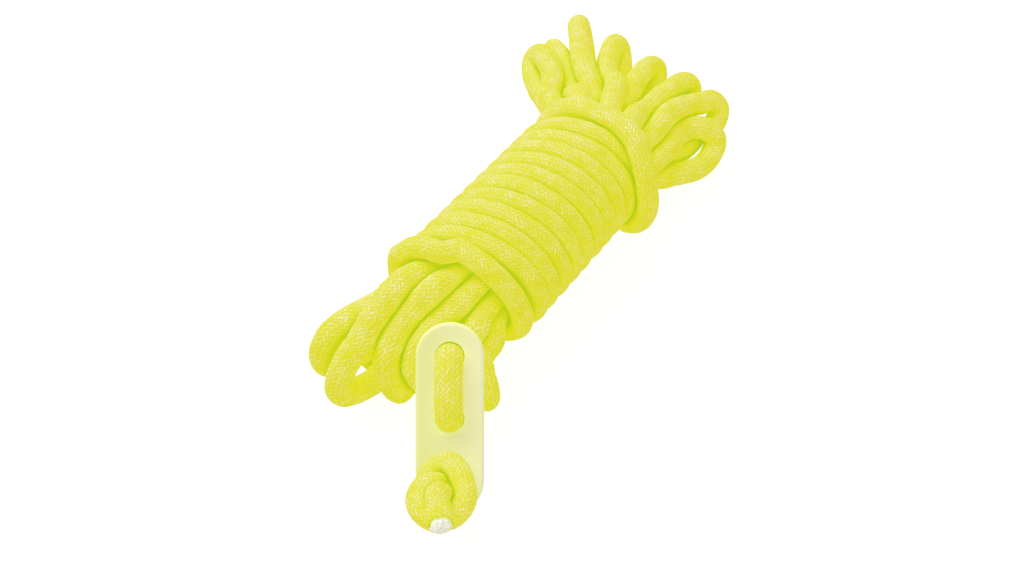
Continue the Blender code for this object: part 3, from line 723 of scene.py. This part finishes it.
def floor_material():
    n = Nodes("studio_floor")
    seen = n.add("LightPath")
    shade = n.mix(n.noise(4.0), (0.13, 0.13, 0.13, 1.0), (0.15, 0.15, 0.15, 1.0))
    n.set(Base_Color=shade, Roughness=0.9, Specular_IOR_Level=0.1,
          Emission_Color=(1.0, 1.0, 1.0, 1.0),
          Emission_Strength=n.fit(seen, 0.0, 1.0, 0.30, 0.93))
    return n.material


# ---------------------------------------------------------------- pieces

def lengths_between(first, last, name):
    """Where a run's rings go: close together, but far apart where the wrap hides them."""
    count = max(4, round((last - first) / RING_STEP))
    lengths = np.linspace(first, last, count + 1)
    if not name.startswith("pass_"):
        return lengths
    height = np.abs(np.interp(lengths, ROPE.length, ROPE.places[:, 1]))
    hidden = height < HIDDEN
    spaced = np.arange(len(lengths)) % round(COARSE_STEP / RING_STEP) == 0
    return lengths[~hidden | spaced]


def squeezed(first, last):
    """Shape of the wrap's turns: narrower along the bundle than away from it."""
    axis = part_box("wrap_coil")
    middle = (np.array(axis[0]) + np.array(axis[1])) / 2

    def shape(places, tangents, ways, lengths):
        outward = (places - middle) * np.array((1.0, 0.0, 1.0))
        outward -= tangents * np.sum(outward * tangents, axis=1)[:, None]
        outward /= np.linalg.norm(outward, axis=1)[:, None]
        side = np.cross(outward, tangents)
        sideways = np.einsum("rsk,rk->rs", ways, side)
        ease = np.clip(np.minimum(lengths - first, last - lengths) / EASE, 0.0, 1.0)
        narrow = 1 + (1 / WRAP_WIDTH ** 2 - 1) * ease[:, None] * sideways ** 2
        return 1 / np.sqrt(narrow)
    return shape


def add_rope(spans, material):
    """Every braided piece, in place of its CAD run; most are bound to their body, the rest baked
    in place.
    """
    for name, (first, last) in spans.items():
        if name.endswith("_sheath"):
            add_cut_end(name, first, last, material)
            continue
        parts = WRAP_PARTS if name == "wrap_coil" else 1
        shape = squeezed(first, last) if name == "wrap_coil" else None
        cuts = np.linspace(first, last, parts + 1)
        for part in range(parts):
            title = f"{name}_braid" if parts == 1 else f"{name}_braid_{part + 1}"
            if name == "tail_end":
                cuts[0] -= TAIL_FEED
                shape = tail_taper
            lengths = lengths_between(cuts[part], cuts[part + 1], name)
            piece = tube(title, ROPE, lengths, shape)
            piece.data.materials.append(material)
            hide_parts(name)
            bind(piece, name, first, last)


def tail_taper(places, tangents, ways, lengths):
    """Shape of the tail where it goes on inside the bend behind the runner."""
    share = np.clip((lengths - lengths[0]) / TAIL_FEED, 0.0, 1.0)
    return (0.7 + 0.3 * share)[:, None] * np.ones(SIDES)


def bind(piece, name, first, last):
    """A piece follows its CAD body; the tail's pieces and the bights in SWINGING are baked in
    place.
    """
    ends = ROPE.at(np.array((first, last)))[0]
    if name == "tail_root":
        ahead = ROPE.at(np.array((last, last - ROOT_BEND)))[0]
        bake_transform(piece)
    elif name == "tail_end":
        ahead = ROPE.at(np.array((last, last - TAIL_BEND)))[0]
        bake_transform(piece)
    elif name in SWINGING:
        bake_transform(piece)
    else:
        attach(piece, BODY_OF[name])


def add_cut_end(name, first, last, material):
    """The open sheath and the yarns of its core at one cut end of the rope."""
    if name == "knot_end_sheath":
        first, last = last, first
    count = round(abs(last - first) / RING_STEP)
    piece = sleeve(name + "_braid", ROPE, np.linspace(first, last, count + 1))
    piece.data.materials.append(material)
    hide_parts(name)
    body = BODY_OF[name]
    places = ROPE.at(np.array((first, first + END_BEND * np.sign(last - first))))[0]
    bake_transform(piece)
    tip, _, ahead = cut_end(name[:-len("_sheath")])
    core = name.replace("_sheath", "_core")
    yarns = yarn_bundle(core + "_yarns", tip, ahead, CORE_YARN_PAINTED_GLOW)
    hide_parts(core)
    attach(yarns, body)


def stadium(inset, steps=40):
    """Outline of the runner, moved inwards."""
    half = (PLATE[0] - PLATE[1]) / 2
    radius = PLATE[1] / 2 - inset
    points = []
    for turn in (0.0, math.pi):
        for i in range(steps + 1):
            angle = turn + math.pi * i / steps
            points.append((half * (1 if turn == 0.0 else -1) + radius * math.sin(angle),
                           radius * math.cos(angle)))
    return points


def circle(along, radius, steps=64):
    return [(along + radius * math.cos(2 * math.pi * i / steps),
             radius * math.sin(2 * math.pi * i / steps)) for i in range(steps)]


def edge_profile():
    """Rounded edge from front to back: how far inside the outline, and how far out."""
    half = PLATE[2] / 2
    profile = [(EDGE_ROUND * 1.1, half)]
    for i in range(ROUND_STEPS + 1):
        angle = math.pi / 2 * i / ROUND_STEPS
        profile.append((EDGE_ROUND * (1 - math.sin(angle)),
                        half - EDGE_ROUND * (1 - math.cos(angle))))
    return profile + [(inset, -height) for inset, height in reversed(profile)]


def runner_piece(material):
    """The moulded runner, with rounded edges round its outline and its holes."""
    profile = edge_profile()
    loops = [stadium] + [
        (lambda inset, at=at, radius=radius: circle(at, radius + inset * HOLE_ROUND))
        for at, radius in HOLES]
    bm = bmesh.new()
    rims = []
    for loop in loops:
        rings = [[bm.verts.new(Vector(CENTRE + LONG * a + SIDE * c + NORMAL * out))
                  for a, c in loop(inset)] for inset, out in profile]
        rims.append((rings[0], rings[-1]))
        for low, high in zip(rings, rings[1:]):
            for k in range(len(low)):
                bm.faces.new((low[k - 1], low[k], high[k], high[k - 1]))
    outlines = [loop(profile[0][0]) for loop in loops]
    owner = [index for index, outline in enumerate(outlines) for _ in outline]
    flat = [Vector(point) for outline in outlines for point in outline]
    filled = geometry.delaunay_2d_cdt(flat, [], [list(range(len(outlines[0])))], 1, 1e-9)
    for which in (0, 1):
        verts = [v for rim in rims for v in rim[which]]
        for face in filled[2]:
            source = [filled[3][v][0] for v in face]
            owners = {owner[v] for v in source}
            if owners == {0} or len(owners) > 1:
                bm.faces.new([verts[v] for v in source])
    bmesh.ops.recalc_face_normals(bm, faces=bm.faces)
    made = mesh_object("runner_body", bm, material)
    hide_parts("runner_plate")
    return made


CENTRE, LONG, SIDE, NORMAL, PLATE = plate_frame()
HOLES = hole_circles()
TOP_HOLE = CENTRE + LONG * HOLES[-1][0]
POINTS, RADII, STARTS = joined(control_points())
ROPE = Path(POINTS, RADII)
BODY_OF = {node: body for body, nodes in frame["record"]["behaviour"]["bodies"].items()
           for node in nodes}
CORE_YARN_PAINTED_GLOW = core_material()


def main():
    names = list(STARTS)
    ends = [ROPE.length_at(STARTS[name]) for name in names] + [ROPE.length[-1]]
    spans = {name: (ends[i], ends[i + 1]) for i, name in enumerate(names)}
    add_rope(spans, rope_material())
    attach(runner_piece(runner_material()), "runner")
    stage_and_light()


def stage_and_light():
    mesh = bpy.data.meshes.new("floor")
    size = 4.0
    mesh.from_pydata([(-size, -size, 0), (size, -size, 0), (size, size, 0), (-size, size, 0)],
                     [], [(0, 1, 2, 3)])
    mesh.materials.append(floor_material())
    floor = bpy.data.objects.new("floor", mesh)
    bpy.context.scene.collection.objects.link(floor)
    world = bpy.data.worlds.new("studio")
    world.use_nodes = True
    world.node_tree.nodes["Background"].inputs[0].default_value = (1.0, 1.0, 1.0, 1.0)
    world.node_tree.nodes["Background"].inputs[1].default_value = 0.24
    bpy.context.scene.world = world
    bpy.context.scene.view_settings.view_transform = "Standard"
    azimuth, elevation = math.radians(37.0), math.radians(55.0)
    back = np.array((math.sin(azimuth) * math.cos(elevation),
                     -math.cos(azimuth) * math.cos(elevation), math.sin(elevation)))
    right = np.array((math.cos(azimuth), math.sin(azimuth), 0.0))
    top = np.cross(back, right)
    target = CENTRE + np.array((-18.6, 58.0, 1.9)) * MM - right * 5.0 * MM - top * 16.667 * MM
    camera = bpy.data.objects.new("camera", bpy.data.cameras.new("camera"))
    camera.data.lens = 31.64
    camera.data.clip_start = 0.01
    camera.location = target + back * 0.25
    camera.rotation_mode = "QUATERNION"
    camera.rotation_quaternion = Vector(-back).to_track_quat("-Z", "Y")
    bpy.context.scene.collection.objects.link(camera)
    bpy.context.scene.camera = camera
    for name, way, energy, width in (
            ("key", (-0.62, 0.05, 0.8), 5.6, 0.70),
            ("fill", (0.9, -0.6, 0.9), 1.3, 0.9)):
        light = bpy.data.lights.new(name, "AREA")
        light.energy = energy
        light.size = width
        lamp = bpy.data.objects.new(name, light)
        lamp.location = Vector(way).normalized() * 0.7
        lamp.rotation_mode = "QUATERNION"
        lamp.rotation_quaternion = Vector(way).to_track_quat("Z", "Y")
        bpy.context.scene.collection.objects.link(lamp)


main()
